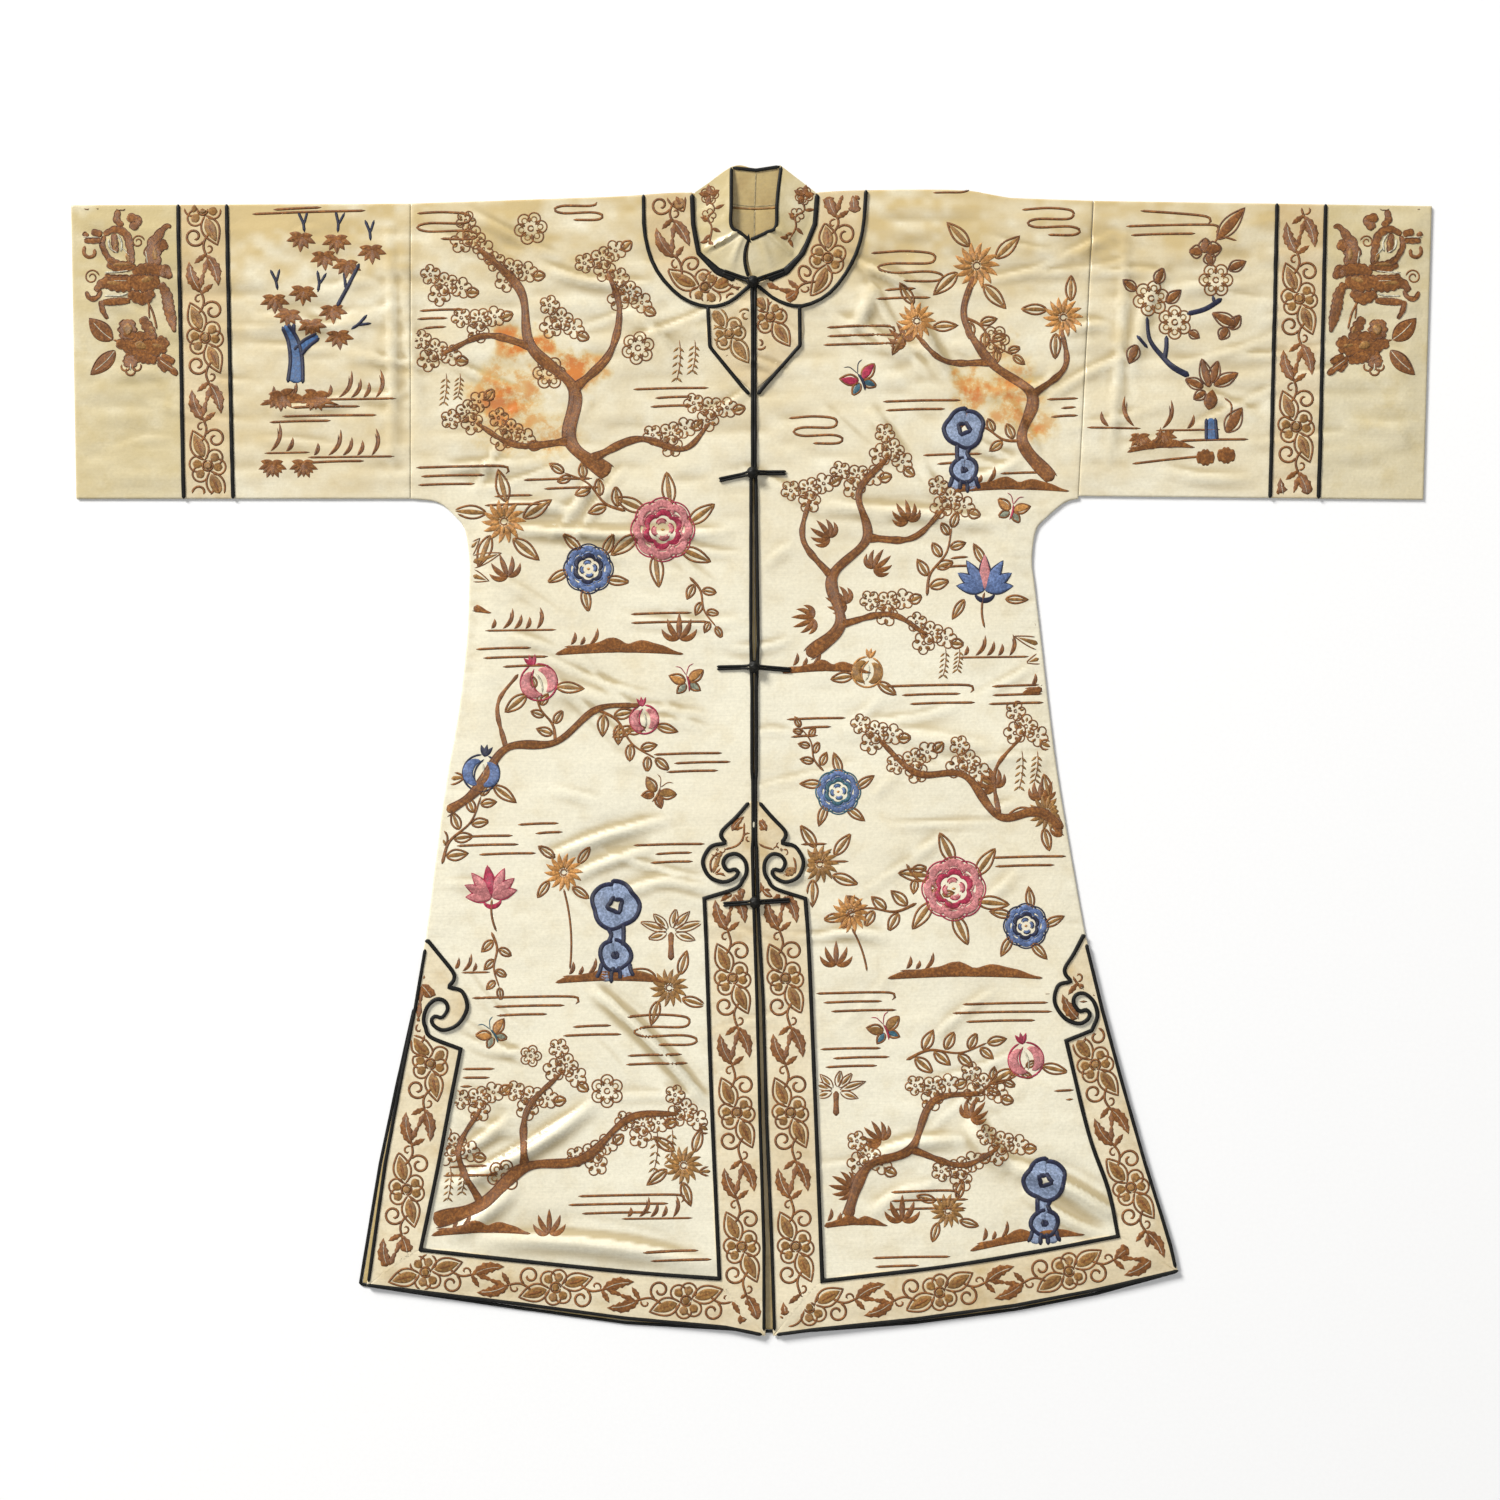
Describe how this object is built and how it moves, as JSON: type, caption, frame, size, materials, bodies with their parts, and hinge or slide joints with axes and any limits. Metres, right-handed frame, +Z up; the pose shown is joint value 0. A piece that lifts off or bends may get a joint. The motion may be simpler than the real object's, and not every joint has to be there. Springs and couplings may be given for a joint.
{
  "type": "embroidered silk jacket laid flat",
  "caption": "Cream silk jacket with a stand collar, scroll bands, black bindings and frog closures, laid flat with its front up.",
  "frame": {"origin": "on the surface that the jacket rests on, below the middle of its box", "axes": "+X to the right along the sleeves as seen from above, +Y towards the collar, +Z up out of the surface"},
  "size_m": [1.319, 1.135, 0.0131],
  "materials": {
    "satin": "cream silk satin with coloured embroidery",
    "band_silk": "tan silk satin with a brown couched scroll",
    "cuff_silk": "khaki silk satin with brown flower sprays",
    "lining": "olive khaki silk, worn",
    "binding": "black satin piping",
    "frog": "black cord of folded satin"
  },
  "bodies": {
    "root": {"back_binding_left": "binding", "back_binding_right": "binding", "back_left": "satin", "back_right": "satin", "border_binding_left": "binding", "border_binding_right": "binding", "border_front_left": "band_silk", "border_front_right": "band_silk", "border_hem_left": "band_silk", "border_hem_right": "band_silk", "border_side_left": "band_silk", "border_side_right": "band_silk", "chest_tab_binding_left": "binding", "chest_tab_binding_right": "binding", "chest_tab_left": "band_silk", "chest_tab_right": "band_silk", "collar_back": "lining", "collar_binding_back": "binding", "collar_binding_left": "binding", "collar_binding_right": "binding", "collar_left": "band_silk", "collar_right": "band_silk", "cuff_left_back": "cuff_silk", "cuff_left_front": "cuff_silk", "cuff_right_back": "cuff_silk", "cuff_right_front": "cuff_silk", "edge_binding_front_left": "binding", "edge_binding_front_right": "binding", "edge_binding_hem_left": "binding", "edge_binding_hem_right": "binding", "edge_binding_side_left": "binding", "edge_binding_side_right": "binding", "frog_1_knot": "frog", "frog_1_loop": "frog", "frog_2_knot": "frog", "frog_2_loop": "frog", "frog_3_knot": "frog", "frog_3_loop": "frog", "frog_4_knot": "frog", "frog_4_loop": "frog", "front_left": "satin", "front_right": "satin", "neck_band_binding_left": "binding", "neck_band_binding_right": "binding", "neck_band_left": "band_silk", "neck_band_right": "band_silk", "neck_binding_left": "binding", "neck_binding_right": "binding", "sleeve_band_left": "band_silk", "sleeve_band_right": "band_silk", "sleeve_binding_left_inner": "binding", "sleeve_binding_left_outer": "binding", "sleeve_binding_right_inner": "binding", "sleeve_binding_right_outer": "binding", "sleeve_left_back": "satin", "sleeve_left_front": "satin", "sleeve_right_back": "satin", "sleeve_right_front": "satin"}
  },
  "joints": []
}
